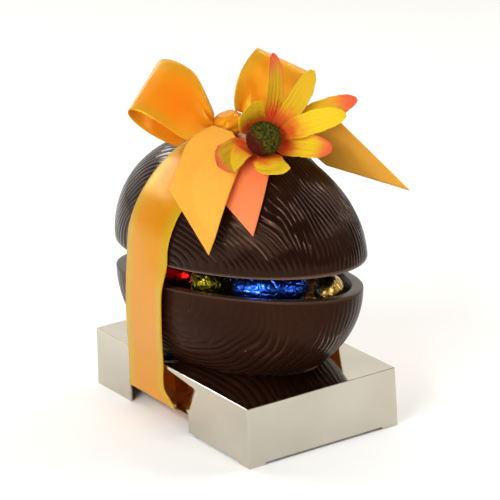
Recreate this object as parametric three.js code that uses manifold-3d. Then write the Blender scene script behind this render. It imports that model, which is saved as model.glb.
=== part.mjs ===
// A tied chocolate egg: two ribbed half shells full of foil-wrapped little eggs, the upper half lifted on
// its filling, sunk into a folded card tray and tied with a satin ribbon, a bow and an artificial flower.
// Units are millimetres, +Z is up. The tray's middle is the working origin, with its long side along X.

import * as THREE from 'three';
import { mergeVertices } from 'three/addons/utils/BufferGeometryUtils.js';
import Module from 'manifold-3d';

const wasm = await Module();
wasm.setup();

// Driving dimensions

const RIBBON_WIDTH = 38;
const RIBBON_THICKNESS = 0.6;
const GAP = 0.3;

const TRAY = { length: 160, width: 98, height: 34.6, card: 1, lean: 0.6 };
const FOOT = { width: 10, height: 1.5 };
const NOTCH = { left: -43.4, right: 19.2, height: 12 };
const BACK_NOTCH_SHIFT = 24;

const EGG = { halfLength: 85.5, halfWidth: 52.5, depth: 62.3, fullness: -0.054 };
const WALL = { side: 6.5, end: 7.5, crown: 5.5 };
const NO_WALL = { side: 0, end: 0, crown: 0 };
const RIDGE = { height: 0.7, halfTurnCount: 40, columns: 14, sway: 0.02 };
const LOWER = { x: -2.6, y: 1.9, z: 78.1, tiltX: -4.7, tiltY: -4.6, yaw: 9.7 };
const UPPER = { x: 1.3, y: 1.1, z: 97.8, tiltX: 1, tiltY: -1.4, yaw: 11.6 };

const BOW = { x: 1, y: 0, z: 166, turn: 57.6 };
const BALL_RADIUS = 9.8;

// Materials

function matter(color, roughness, metalness = 0) {
  return new THREE.MeshStandardMaterial({ color, roughness, metalness });
}

const mirrorCard = matter(0xd8d0bc, 0.12, 1);
const darkChocolate = matter(0x2e1a12, 0.3);
const satin = matter(0xf0a93a, 0.35);
const coralSatin = matter(0xff8c55, 0.5);
const petalYellow = matter(0xe2b41e, 0.7);
const flowerGreen = matter(0x2c3812, 0.9);
const foils = {
  red: matter(0xa01c14, 0.25, 1),
  green: matter(0x6a6420, 0.25, 1),
  blue: matter(0x1c3fc0, 0.25, 1),
  gold: matter(0xb8963c, 0.3, 1),
  orange: matter(0xd06a1c, 0.25, 1),
};

const egg = new THREE.Group();

function addPiece(parent, name, geometry, material) {
  const mesh = new THREE.Mesh(geometry, material);
  mesh.name = name;
  parent.add(mesh);
  return mesh;
}

// Solids from points and triangles

function solidGeometry(points, triangles) {
  const geometry = new THREE.BufferGeometry();
  geometry.setAttribute('position', new THREE.Float32BufferAttribute(points.flatMap((p) => p.toArray()), 3));
  geometry.setIndex(triangles.flat());
  return mergeVertices(geometry, 1e-4);
}

function toSolid(geometry) {
  const bare = geometry.clone();
  bare.deleteAttribute('normal');
  bare.deleteAttribute('uv');
  const merged = mergeVertices(bare, 1e-4);
  const index = [];
  for (let i = 0; i < merged.index.count; i += 3) {
    const [a, b, c] = [0, 1, 2].map((k) => merged.index.getX(i + k));
    if (a !== b && b !== c && c !== a) index.push(a, b, c);
  }
  return new wasm.Manifold(new wasm.Mesh({
    numProp: 3,
    vertProperties: new Float32Array(merged.attributes.position.array),
    triVerts: new Uint32Array(index),
  }));
}

function toGeometry(solid) {
  const mesh = solid.getMesh();
  const geometry = new THREE.BufferGeometry();
  geometry.setAttribute('position', new THREE.Float32BufferAttribute(mesh.vertProperties, 3));
  geometry.setIndex(Array.from(mesh.triVerts));
  return geometry;
}

// The triangles of a grid of rows and columns, optionally joined round from the last row to the first
function gridTriangles(rows, columns, joined = false) {
  const triangles = [];
  const lastRow = joined ? rows : rows - 1;
  for (let i = 0; i < lastRow; i += 1) {
    const next = (i + 1) % rows;
    for (let j = 0; j < columns - 1; j += 1) {
      const corner = i * columns + j;
      const across = next * columns + j;
      triangles.push([corner, across, across + 1], [corner, across + 1, corner + 1]);
    }
  }
  return triangles;
}

// A closed solid between two faces with like points, joined round the border of their triangles
function closedSheet(front, back, triangles) {
  const borders = new Map();
  const count = front.length;
  const faces = [];
  for (const [a, b, c] of triangles) {
    faces.push([a, b, c], [count + a, count + c, count + b]);
    for (const [from, to] of [[a, b], [b, c], [c, a]]) {
      if (!borders.delete(`${to},${from}`)) borders.set(`${from},${to}`, [from, to]);
    }
  }
  for (const [from, to] of borders.values()) {
    faces.push([from, count + from, count + to], [from, count + to, to]);
  }
  return solidGeometry([...front, ...back], faces);
}

// A sheet of even thickness: a surface's points moved both ways along their normals
function thickSheet(points, triangles, thickness) {
  const normals = points.map(() => new THREE.Vector3());
  for (const [a, b, c] of triangles) {
    const face = new THREE.Vector3().crossVectors(
      points[b].clone().sub(points[a]),
      points[c].clone().sub(points[a]),
    );
    for (const corner of [a, b, c]) normals[corner].add(face);
  }
  for (const normal of normals) normal.setLength(thickness / 2);
  const front = points.map((p, i) => p.clone().add(normals[i]));
  const back = points.map((p, i) => p.clone().sub(normals[i]));
  return closedSheet(front, back, triangles);
}

function boxSolid(x0, x1, y0, y1, z0, z1) {
  const box = new THREE.BoxGeometry(x1 - x0, y1 - y0, z1 - z0);
  box.translate((x0 + x1) / 2, (y0 + y1) / 2, (z0 + z1) / 2);
  return toSolid(box);
}

function spread(count, from, to) {
  return Array.from({ length: count }, (_, i) => from + ((to - from) * i) / (count - 1));
}

// The egg's halves. A half is measured on a unit sphere whose pole lies in the middle of the egg's long
// side, on the rim: the ridges are the rings of equal angle round that pole, like the rings of a trunk.

const radians = THREE.MathUtils.degToRad;

function placeHalf(half) {
  const yaw = new THREE.Matrix4().makeRotationZ(radians(half.yaw));
  const tiltX = new THREE.Matrix4().makeRotationX(radians(half.tiltX));
  const tiltY = new THREE.Matrix4().makeRotationY(radians(half.tiltY));
  const place = new THREE.Matrix4().makeTranslation(half.x, half.y, half.z);
  return place.multiply(tiltY).multiply(tiltX).multiply(yaw);
}

function eggPoint(sphere, side, grow) {
  const full = 1 + EGG.fullness * sphere.x;
  return new THREE.Vector3(
    (EGG.halfLength + grow) * sphere.x,
    (EGG.halfWidth + grow) * full * sphere.y,
    side * (EGG.depth + grow) * full * sphere.z,
  );
}

function ridgedHalf(side) {
  const { height, halfTurnCount, columns, sway } = RIDGE;
  const rows = halfTurnCount * 2;
  const points = [];
  for (let i = 0; i <= rows; i += 1) {
    const atPole = i === 0 || i === rows;
    for (let j = 0; j <= columns; j += 1) {
      const around = (Math.PI * j) / columns;
      const wave = sway * Math.sin(3 * around + 0.3 * i) * Math.sin((Math.PI * i) / rows);
      const ring = (Math.PI * i) / rows + (atPole ? 0 : wave);
      const sphere = new THREE.Vector3(
        Math.sin(ring) * Math.cos(around),
        -Math.cos(ring),
        Math.sin(ring) * Math.sin(around),
      );
      points.push(eggPoint(sphere, side, i % 2 ? height / 2 : -height / 2));
    }
  }
  const triangles = gridTriangles(rows + 1, columns + 1);
  for (let i = 0; i < rows; i += 1) {
    const [first, next] = [i * (columns + 1), (i + 1) * (columns + 1)];
    triangles.push([first, first + columns, next + columns], [first, next + columns, next]);
  }
  const facing = side < 0 ? triangles.map(([a, b, c]) => [a, c, b]) : triangles;
  return toSolid(solidGeometry(points, facing));
}

// The whole egg's smooth form, smaller by a wall and a clearance
function smoothEgg(wall, clearance, [around, down]) {
  const sphere = new THREE.SphereGeometry(1, around, down);
  sphere.rotateX(Math.PI / 2);
  const position = sphere.attributes.position;
  for (let i = 0; i < position.count; i += 1) {
    const full = 1 + EGG.fullness * position.getX(i);
    position.setXYZ(
      i,
      position.getX(i) * (EGG.halfLength - wall.end - clearance),
      position.getY(i) * (EGG.halfWidth - wall.side - clearance) * full,
      position.getZ(i) * (EGG.depth - wall.crown - clearance) * full,
    );
  }
  return toSolid(sphere);
}

const SMOOTH_SIDES = [36, 20];
const hollow = smoothEgg(WALL, 0, SMOOTH_SIDES);
const lowerPlace = placeHalf(LOWER);
const upperPlace = placeHalf(UPPER);

const lowerShell = addPiece(egg, 'shell_lower', toGeometry(ridgedHalf(-1).subtract(hollow)), darkChocolate);
lowerShell.applyMatrix4(lowerPlace);
const upperShell = addPiece(egg, 'shell_upper', toGeometry(ridgedHalf(1).subtract(hollow)), darkChocolate);
upperShell.applyMatrix4(upperPlace);

// The point of a half's smooth surface, grown outwards, on a straight line from inside the egg
function onShell(place, side, grow, start, direction) {
  const inverse = place.clone().invert();
  const inside = (distance) => {
    const p = start.clone().addScaledVector(direction, distance).applyMatrix4(inverse);
    const x = p.x / (EGG.halfLength + grow);
    const full = 1 + EGG.fullness * x;
    const y = p.y / ((EGG.halfWidth + grow) * full);
    const z = (side * p.z) / ((EGG.depth + grow) * full);
    return x * x + y * y + z * z < 1;
  };
  let [near, far] = [0, 2 * EGG.halfLength];
  while (far - near > 1e-4) {
    const middle = (near + far) / 2;
    if (inside(middle)) near = middle;
    else far = middle;
  }
  return start.clone().addScaledVector(direction, near);
}

// The tray: a folded box of mirror card without a bottom. The egg sits in an oval hole in its top, the
// ribbon runs under it through a notch in each long wall, and its walls stand on feet at the corners.

function taperedBox(inset, bottom, top) {
  const points = [];
  for (const z of [bottom, top]) {
    const lean = TRAY.lean * (1 - z / TRAY.height);
    const x = TRAY.length / 2 + lean - inset;
    const y = TRAY.width / 2 + lean - inset;
    for (const [sx, sy] of [[-1, -1], [1, -1], [1, 1], [-1, 1]]) {
      points.push(new THREE.Vector3(sx * x, sy * y, z));
    }
  }
  const triangles = [[0, 2, 1], [0, 3, 2], [4, 5, 6], [4, 6, 7]];
  for (let i = 0; i < 4; i += 1) {
    const next = (i + 1) % 4;
    triangles.push([i, next, next + 4], [i, next + 4, i + 4]);
  }
  return toSolid(solidGeometry(points, triangles));
}

// The front wall is pressed in behind the ribbon, over the notch. Each corner is x, height and depth of
// the dent: the wall's top, the dent's two deepest corners, the notch's upper edge and the wall's foot.
const DENT_CORNERS = [
  [-52, 33.4, 0], [-34, 33.4, 0], [-6, 33.4, 0], [36, 33.4, 0], [30.6, 29.3, 0],
  [-8, 31, 4.5], [-8, 15.5, 5.5],
  [-52, 12, 0], [-43.4, 12, 0], [-30, 12, 0], [-2, 12, 2.2], [6, 12, 0.2], [19.2, 12, 0], [36, 12, 0],
  [-52, 0, 0], [-43.4, 0, 0], [19.2, 0, 0], [36, 0, 0],
];
const DENT_FACES = [
  [0, 7, 8], [0, 8, 9], [0, 9, 1], [1, 9, 6], [1, 6, 5], [1, 5, 2], [2, 5, 4], [2, 4, 3],
  [5, 6, 4], [6, 12, 4], [9, 10, 6], [10, 11, 6], [11, 12, 6], [4, 12, 13], [4, 13, 3],
  [7, 14, 15], [7, 15, 8], [12, 16, 17], [12, 17, 13],
];

function dentedPanel() {
  const face = (inward) => DENT_CORNERS.map(([x, z, depth]) => {
    const lean = TRAY.lean * (1 - z / TRAY.height);
    return new THREE.Vector3(x, -TRAY.width / 2 - lean + depth + inward, z);
  });
  return toSolid(closedSheet(face(0), face(TRAY.card), DENT_FACES));
}

function makeTray() {
  const { length, width, height, card } = TRAY;
  const beyond = 5;
  const [xEnd, yEnd] = [length / 2 + beyond, width / 2 + beyond];
  let tray = taperedBox(0, 0, height).subtract(taperedBox(card, -beyond, height - card));
  const dentLeft = DENT_CORNERS[0][0];
  const dentRight = DENT_CORNERS[3][0];
  const dentTop = DENT_CORNERS[0][1];
  tray = tray.subtract(boxSolid(dentLeft, dentRight, -yEnd, -width / 2 + beyond, -beyond, dentTop));
  tray = tray.add(dentedPanel());
  const backLeft = NOTCH.left + BACK_NOTCH_SHIFT;
  const backRight = NOTCH.right + BACK_NOTCH_SHIFT;
  tray = tray.subtract(boxSolid(backLeft, backRight, width / 2 - beyond, yEnd, -beyond, NOTCH.height));
  const footX = length / 2 - FOOT.width;
  const footY = width / 2 - FOOT.width;
  const slots = [
    boxSolid(-xEnd, xEnd, -footY, footY, -beyond, FOOT.height),
    boxSolid(NOTCH.right - 1, footX, -yEnd, -width / 2 + beyond, -beyond, FOOT.height),
    boxSolid(-footX, backLeft + 1, width / 2 - beyond, yEnd, -beyond, FOOT.height),
  ];
  for (const slot of slots) tray = tray.subtract(slot);
  const room = toGeometry(smoothEgg(NO_WALL, -1, SMOOTH_SIDES));
  room.applyMatrix4(lowerPlace);
  return tray.subtract(toSolid(room));
}

addPiece(egg, 'tray', toGeometry(makeTray()), mirrorCard);

// The filling: foil-wrapped eggs that show between the halves, on a bed of more of them in the bowl

const FOIL_EGGS = [
  { name: 'red_front', foil: 'red', x: -11, y: -32, z: 84, heading: 8, pitch: 0, length: 30, width: 22 },
  {
    name: 'green_front', foil: 'green', x: 17, y: -28.5, z: 83.6,
    heading: 62, pitch: -40, length: 26, width: 20,
  },
  { name: 'blue_front', foil: 'blue', x: 44, y: -8, z: 84.5, heading: 52, pitch: 0, length: 43, width: 23 },
  { name: 'gold_end', foil: 'gold', x: 62, y: 18, z: 82.5, heading: -42, pitch: 0, length: 22, width: 17 },
  { name: 'blue_back', foil: 'blue', x: 31, y: 33, z: 87, heading: 4, pitch: 0, length: 34, width: 21 },
  { name: 'orange_back', foil: 'orange', x: -8, y: 31, z: 85, heading: 8, pitch: 0, length: 34, width: 22 },
  { name: 'gold_back', foil: 'gold', x: -45, y: 18, z: 84, heading: 32, pitch: 0, length: 32, width: 21 },
  { name: 'red_left', foil: 'red', x: -62, y: -7, z: 83, heading: 100, pitch: 0, length: 28, width: 20 },
  {
    name: 'green_left', foil: 'green', x: -41, y: -27, z: 84.2,
    heading: -18, pitch: 0, length: 28, width: 21,
  },
];
const BED = { top: 70, clearance: 0.6 };
const BED_EGGS = [
  { x: -36, y: -3, z: 76, heading: 30, pitch: 0, length: 36, width: 24 },
  { x: -8, y: 2, z: 77, heading: -20, pitch: 0, length: 38, width: 25 },
  { x: 18, y: 4, z: 77, heading: 70, pitch: 0, length: 34, width: 24 },
];
const FOIL_SIDES = { treat: [12, 8], bed: [10, 6] };

function foilEggGeometry({ length, width, heading, pitch, x, y, z }, [around, along]) {
  const geometry = new THREE.SphereGeometry(1, around, along);
  geometry.rotateZ(Math.PI / 2);
  const position = geometry.attributes.position;
  for (let i = 0; i < position.count; i += 1) {
    const round = (width / 2) * (1 - 0.12 * position.getX(i));
    position.setXYZ(i, (position.getX(i) * length) / 2, position.getY(i) * round, position.getZ(i) * round);
  }
  geometry.rotateY(-radians(pitch));
  geometry.rotateZ(radians(heading));
  geometry.translate(x, y, z);
  return geometry;
}

for (const treat of FOIL_EGGS) {
  const solid = toSolid(foilEggGeometry(treat, FOIL_SIDES.treat));
  addPiece(egg, `foil_egg_${treat.name}`, toGeometry(solid), foils[treat.foil]);
}

function makeBed() {
  const { top, clearance } = BED;
  const fill = toGeometry(smoothEgg(WALL, clearance, [24, 12]));
  fill.applyMatrix4(lowerPlace);
  const reach = EGG.halfLength;
  let bed = toSolid(fill).intersect(boxSolid(-reach, reach, -reach, reach, 0, top));
  for (const treat of BED_EGGS) bed = bed.add(toSolid(foilEggGeometry(treat, FOIL_SIDES.bed)));
  return bed;
}

addPiece(egg, 'filling_bed', toGeometry(makeBed()), foils.gold);

// The ribbon band: one closed loop over the upper half, down the front, under the tray's top and up the
// back. A station is a row of points across the ribbon.

const BAND_COLUMNS = [-0.5, -0.25, 0, 0.25, 0.5].map((part) => part * RIBBON_WIDTH);
const BAND_OFF_SHELL = RIDGE.height / 2 + 1.5 * GAP + RIBBON_THICKNESS / 2;

// A quarter of the band over the upper half, from the crown towards the front (-1) or the back (1)
function bandOverShell(towards, crownX, rimX) {
  const rows = [];
  for (const turn of spread(10, 0, 90)) {
    const middle = crownX + (rimX - crownX) * Math.sin(radians(turn)) ** 3;
    const direction = new THREE.Vector3(0, towards * Math.sin(radians(turn)), Math.cos(radians(turn)));
    rows.push(BAND_COLUMNS.map((across) => {
      const start = new THREE.Vector3(middle + across, UPPER.y, UPPER.z);
      return onShell(upperPlace, 1, BAND_OFF_SHELL, start, direction);
    }));
  }
  return rows;
}

// A level row; a flare carries its right edge out, where the ribbon turns off towards the back notch
function flatRow(x, y, z, flare = 0) {
  return BAND_COLUMNS.map((across) => {
    const flared = flare * (across / RIBBON_WIDTH + 0.5) ** 2;
    return new THREE.Vector3(x + across + flared, y, z);
  });
}

function makeBand() {
  const wall = TRAY.width / 2 + TRAY.lean / 2 + GAP + RIBBON_THICKNESS / 2;
  const under = NOTCH.height - 1.4;
  const front = bandOverShell(-1, 1, -10);
  const back = bandOverShell(1, 1, 2);
  const rows = [
    ...back.slice().reverse(),
    ...front.slice(1),
    flatRow(-12.5, -54.8, 83),
    flatRow(-16.5, -53.8, 62),
    flatRow(-22.3, -wall - 0.6, 35),
    flatRow(-23.3, -wall - 0.1, 20),
    flatRow(-23.6, -wall - 0.1, 15.5, 6),
    flatRow(-23.9, -wall - 0.1, 12.6, 10),
    flatRow(-23.9, -wall + 0.1, 11.2, 11),
    flatRow(-23.6, -wall + 1.5, under - 0.1, 11),
    flatRow(-22, -wall + 7, under, 9),
    flatRow(-4, 20, under),
    flatRow(3.6, wall - 3, under),
    flatRow(4, wall, under + 0.2),
    flatRow(4, wall + 0.4, 14),
    flatRow(4, wall + 0.4, 35),
    flatRow(3, 56.2, 79),
  ];
  return thickSheet(rows.flat(), gridTriangles(rows.length, BAND_COLUMNS.length, true), RIBBON_THICKNESS);
}

addPiece(egg, 'ribbon_band', makeBand(), satin);

// The bow, in its own frame at the knot: x across the bow, y to its back, z up

const bow = new THREE.Group();
bow.position.set(BOW.x, BOW.y, BOW.z);
bow.rotation.z = radians(BOW.turn);
bow.updateMatrix();
egg.add(bow);

const upperFromBow = upperPlace.clone().invert().multiply(bow.matrix);
const bowFromUpper = upperFromBow.clone().invert();

// A point of the bow's frame, pushed out to a given clearance over the upper half if it lies nearer
function overShell(point, clearance) {
  const p = point.clone().applyMatrix4(upperFromBow);
  const grow = RIDGE.height / 2 + clearance;
  const full = 1 + (EGG.fullness * p.x) / EGG.halfLength;
  const depth = Math.hypot(
    p.x / (EGG.halfLength + grow),
    p.y / ((EGG.halfWidth + grow) * full),
    p.z / ((EGG.depth + grow) * full),
  );
  return p.divideScalar(Math.min(1, depth)).applyMatrix4(bowFromUpper);
}

const vector = (list) => new THREE.Vector3(...list);

const KNOT = { centre: [-2, 0, 2.6], radii: [8, 7.4, 6.2], pleats: 7 };

function makeKnot() {
  const geometry = new THREE.SphereGeometry(1, 21, 10);
  const position = geometry.attributes.position;
  for (let i = 0; i < position.count; i += 1) {
    const p = new THREE.Vector3().fromBufferAttribute(position, i);
    const pleat = 1 + 0.05 * Math.cos(KNOT.pleats * Math.atan2(p.z, p.x)) * Math.hypot(p.x, p.z);
    p.multiply(vector(KNOT.radii)).multiplyScalar(pleat).add(vector(KNOT.centre));
    position.setXYZ(i, p.x, p.y, p.z);
  }
  return toGeometry(toSolid(geometry));
}

addPiece(bow, 'bow_knot', makeKnot(), satin);

// A loop runs out from the knot on its front layer, turns over and comes back on its back layer. It fans
// out from the gathers at the knot to the ribbon's full width, and turns about its path on the way.
const LOOPS = {
  bow_loop_left: {
    root: [-10.8, 0, 2.5], reach: [-38, 7, 20.1],
    acrossRoot: [0.05, 0.33, 0.94], acrossFold: [0.45, 0.74, 0.51],
    swell: 9, gather: 9, fan: 0.45, lean: 0,
  },
  bow_loop_right: {
    root: [8.4, 4.2, 4.7], reach: [22.6, 15.8, 25.1],
    acrossRoot: [0.85, 0.1, -0.4], acrossFold: [0.85, 0.21, -0.51],
    swell: 5, gather: 13, fan: 0.9, lean: -0.5,
  },
};
const LOOP_CLEARANCE = 2;

function loopGeometry({ root, reach, acrossRoot, acrossFold, swell, gather, fan, lean }) {
  const out = vector(reach);
  const length = out.length();
  out.normalize();
  const points = [];
  const turns = spread(21, 0, 2 * Math.PI);
  const columns = spread(5, -0.5, 0.5);
  for (const turn of turns) {
    const along = Math.sin(turn / 2) ** 2;
    const side = vector(acrossRoot).lerp(vector(acrossFold), along).normalize();
    const front = new THREE.Vector3().crossVectors(side, out).normalize();
    if (front.y > 0) front.negate();
    front.x += lean;
    front.normalize();
    const rise = swell * Math.sin(turn) + 2 * Math.cos(turn / 2);
    const opening = Math.sin((Math.PI / 2) * Math.min(1, along / fan));
    const width = gather + (RIBBON_WIDTH - gather) * opening;
    for (const column of columns) {
      const point = vector(root)
        .addScaledVector(out, length * along)
        .addScaledVector(front, rise)
        .addScaledVector(side, column * width);
      points.push(overShell(point, LOOP_CLEARANCE));
    }
  }
  return thickSheet(points, gridTriangles(turns.length, columns.length), RIBBON_THICKNESS);
}

for (const [name, loop] of Object.entries(LOOPS)) addPiece(bow, name, loopGeometry(loop), satin);

// A tail is a strip that fans out from the knot, lies over the shell and ends in a slanting cut. Its
// path's points and the direction across it are given in the bow's frame; its tip is the longer corner.
// The two in front hang a little hollow, so they span less than the ribbon's width.
const TAILS = {
  tail_front: {
    path: [[-6, -9.5, 1.4], [-10, -23, -6], [-20, -40.5, -25.5], [-31.5, -56, -49]],
    across: [0.87, -0.43, -0.225], cut: 27, width: 35, gather: 12, fanLength: 22,
    clearance: 6.4, material: satin,
  },
  tail_coral: {
    path: [[4, -9.4, -5.6], [2.5, -24, -12], [-1, -41, -21], [-9, -58, -43]],
    across: [0.97, -0.234, -0.055], cut: 30, width: 35, gather: 9, fanLength: 24,
    clearance: 1.55, material: coralSatin,
  },
  tail_right: {
    path: [[9, 0, 1], [30, -5, -2], [59, -15.5, -9], [95, -29, -18]],
    across: [0.018, 0.414, -0.889], cut: 43, width: RIBBON_WIDTH, gather: 10, fanLength: 26,
    clearance: 3, material: satin,
  },
};

function tailGeometry({ path, across, cut, width, gather, fanLength, clearance }) {
  const curve = new THREE.CatmullRomCurve3(path.map(vector));
  const length = curve.getLength();
  const side = vector(across).normalize();
  const steps = spread(10, 0, 1);
  const columns = spread(5, -0.5, 0.5);
  const points = [];
  for (const step of steps) {
    for (const column of columns) {
      const end = length - cut * (0.5 - column);
      const along = step * end;
      const span = gather + (width - gather) * Math.min(1, along / fanLength);
      const point = curve.getPointAt(along / length).addScaledVector(side, column * span);
      points.push(overShell(point, clearance));
    }
  }
  return thickSheet(points, gridTriangles(steps.length, columns.length), RIBBON_THICKNESS);
}

for (const [name, tail] of Object.entries(TAILS)) addPiece(bow, name, tailGeometry(tail), tail.material);

// The flower: a fuzzy ball on a green disc that carries the petals, and a stem from the disc into the
// bow. A petal leaves the disc outwards and bends to its tip, which is given from the ball's middle.

const FLOWER = { ball: [16, -31, 1.2], axis: [0.15, -0.85, 0.5], discRadius: 3.5, discDepth: 1.8 };
const STEM = { radius: 1, knotEnd: [6.2, -8.4, 2] };
const PETALS = {
  top: { tip: [6.6, 2, 46.8], width: 10, layer: 0.2, roll: 35, sway: -0.2, neck: 0.5, clearance: 8.2 },
  top_right: { tip: [28, 4, 36], width: 11.5, layer: 1, sway: -0.13, neck: 0.5, clearance: 8.2 },
  right_back: { tip: [51.2, 2, 19.4], width: 13, layer: -0.25, sway: 0.1, neck: 0.5, clearance: 8.2 },
  right: { tip: [44.7, -8, 13.9], width: 13, layer: 1.2, sway: 0.1, neck: 0.5, clearance: 8.2 },
  lower_right: { tip: [36, -15, -4], width: 13.5, layer: 0, sway: 0.15, neck: 0.35, clearance: 3 },
  bottom: { tip: [9, -28, -11.5], width: 16.5, layer: 1, sway: -0.05, neck: 0.35, clearance: 5 },
  lower_left: { tip: [-25.2, -18, -8.9], width: 16, layer: 0, sway: -0.1, neck: 0.35, clearance: 8.2 },
  upper_left: { tip: [-5, -12, 24], width: 16.5, layer: 1, sway: 0, neck: 0.35, clearance: 2 },
};
const PETAL = {
  thickness: 0.5, baseWidth: 2.8, tipWidth: 0.6, openingPower: 1.3, closesFrom: 0.55, closingPower: 3,
  cup: 0.16, reach: 0.38, bow: 0.1, layerStep: 2.2, layerBow: 1.5,
};

const ballCentre = vector(FLOWER.ball);
const flowerAxis = vector(FLOWER.axis).normalize();
const discBehindBall = BALL_RADIUS + GAP + FLOWER.discDepth / 2;
const discCentre = ballCentre.clone().addScaledVector(flowerAxis, -discBehindBall);

// Half a petal's width at a step from 0 at its base to 1 at its blunt tip
function petalHalfWidth(step, width, neck) {
  const opening = Math.sin((Math.PI / 2) * Math.min(1, step / neck)) ** PETAL.openingPower;
  const pastWidest = Math.max(0, (step - PETAL.closesFrom) / (1 - PETAL.closesFrom));
  const closing = Math.sqrt(1 - pastWidest ** PETAL.closingPower);
  const full = Math.max(PETAL.baseWidth, width * opening) * closing;
  return Math.max(PETAL.tipWidth, full) / 2;
}

function petalGeometry({ tip, width, layer, roll = 0, sway, neck, clearance }) {
  const end = ballCentre.clone().add(vector(tip));
  const radial = vector(tip).addScaledVector(flowerAxis, -vector(tip).dot(flowerAxis)).normalize();
  const outOfLayer = PETAL.layerStep * (layer - 0.5);
  const start = discCentre.clone()
    .addScaledVector(radial, FLOWER.discRadius + 2 * GAP)
    .addScaledVector(flowerAxis, outOfLayer);
  const length = start.distanceTo(end);
  const across = new THREE.Vector3().crossVectors(flowerAxis, radial);
  const bend = start.clone()
    .addScaledVector(radial, PETAL.reach * length)
    .addScaledVector(flowerAxis, PETAL.bow * length + PETAL.layerBow * outOfLayer)
    .addScaledVector(across, sway * length);
  const curve = new THREE.QuadraticBezierCurve3(start, bend, end);
  const steps = spread(9, 0, 1);
  const columns = spread(5, -1, 1);
  const points = [];
  for (const step of steps) {
    const middle = curve.getPoint(step);
    const along = curve.getTangent(step);
    const side = across.clone().addScaledVector(along, -across.dot(along)).normalize();
    side.applyAxisAngle(along, radians(roll) * step);
    const lift = new THREE.Vector3().crossVectors(along, side);
    const half = petalHalfWidth(step, width, neck);
    for (const column of columns) {
      const point = middle.clone()
        .addScaledVector(side, column * half)
        .addScaledVector(lift, PETAL.cup * half * column * column);
      points.push(overShell(point, clearance * Math.min(1, 0.3 + 2 * step)));
    }
  }
  return thickSheet(points, gridTriangles(steps.length, columns.length), PETAL.thickness);
}

for (const [name, petal] of Object.entries(PETALS)) {
  addPiece(bow, `petal_${name}`, petalGeometry(petal), petalYellow);
}

const ball = new THREE.SphereGeometry(BALL_RADIUS, 16, 10);
ball.translate(...ballCentre);
addPiece(bow, 'flower_ball', toGeometry(toSolid(ball)), flowerGreen);

const cylinderAxis = new THREE.Vector3(0, 1, 0);

const disc = new THREE.CylinderGeometry(FLOWER.discRadius, FLOWER.discRadius, FLOWER.discDepth, 20);
disc.applyQuaternion(new THREE.Quaternion().setFromUnitVectors(cylinderAxis, flowerAxis));
disc.translate(...discCentre);
addPiece(bow, 'flower_disc', toGeometry(toSolid(disc)), flowerGreen);

const stemStart = discCentre.clone().addScaledVector(flowerAxis, -(FLOWER.discDepth / 2 + STEM.radius));
const stemEnd = vector(STEM.knotEnd);
const stemRun = stemEnd.clone().sub(stemStart);
const stem = new THREE.CylinderGeometry(STEM.radius, STEM.radius, stemRun.length(), 10);
stem.applyQuaternion(new THREE.Quaternion().setFromUnitVectors(cylinderAxis, stemRun.clone().normalize()));
stem.translate(...stemStart.add(stemEnd).multiplyScalar(0.5));
addPiece(bow, 'flower_stem', toGeometry(toSolid(stem)), flowerGreen);

// The whole stands with the middle of its bounding box's bottom face at the origin

const bounds = new THREE.Box3().setFromObject(egg, true);
const middle = bounds.getCenter(new THREE.Vector3());
egg.position.set(-middle.x, -middle.y, -bounds.min.z);

export default egg;
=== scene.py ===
# %% [markdown]
# A filled chocolate egg, tied up as a gift. Two ribbed shells of dark chocolate hold little eggs in coloured
# foil. The lower shell is sunk into a folded tray of mirror card, and a satin ribbon runs round all of it,
# ends in a bow and holds an artificial flower. The solid model comes first as a fixed frame. Every shape
# below is worked out in millimetres in the tray's own frame, where Z is up and the floor is at zero, and
# is moved to the model's frame, in metres, when its mesh is finished.

# %% The fixed frame
import bisect
import random
from math import atan2, cos, exp, hypot, pi, radians, sin, sqrt

import bmesh
import bpy
from mathutils import Matrix, Vector, noise


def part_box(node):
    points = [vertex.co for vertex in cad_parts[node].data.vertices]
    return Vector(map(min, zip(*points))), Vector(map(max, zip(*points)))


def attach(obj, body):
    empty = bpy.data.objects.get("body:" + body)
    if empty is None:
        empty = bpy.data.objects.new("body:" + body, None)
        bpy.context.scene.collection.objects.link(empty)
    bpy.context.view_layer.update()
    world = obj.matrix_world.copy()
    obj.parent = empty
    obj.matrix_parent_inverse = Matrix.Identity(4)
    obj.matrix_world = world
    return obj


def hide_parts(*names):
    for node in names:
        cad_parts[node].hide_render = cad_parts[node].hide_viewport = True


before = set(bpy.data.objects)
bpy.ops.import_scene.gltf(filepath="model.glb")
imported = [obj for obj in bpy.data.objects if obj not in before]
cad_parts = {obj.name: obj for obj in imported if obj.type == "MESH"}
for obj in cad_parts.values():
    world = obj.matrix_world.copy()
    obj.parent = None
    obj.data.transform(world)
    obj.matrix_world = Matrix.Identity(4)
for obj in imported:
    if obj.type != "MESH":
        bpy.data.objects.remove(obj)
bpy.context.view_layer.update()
tray_low, tray_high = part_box("tray")
TRAY_MIDDLE = Vector(((tray_low.x + tray_high.x) / 2, (tray_low.y + tray_high.y) / 2, 0))
MM = 0.001
TO_FRAME = Matrix.Translation(TRAY_MIDDLE) @ Matrix.Scale(MM, 4)

# %% [markdown]
# A material is a small program. A wire is one output of a node that takes part in Python sums: adding two
# wires makes a Math node. A finish is a material that makes its nodes with one method, so each material
# below reads as a recipe. Colours are given as a screen shows them and turned into light.

# %% Wires and finishes


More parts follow.
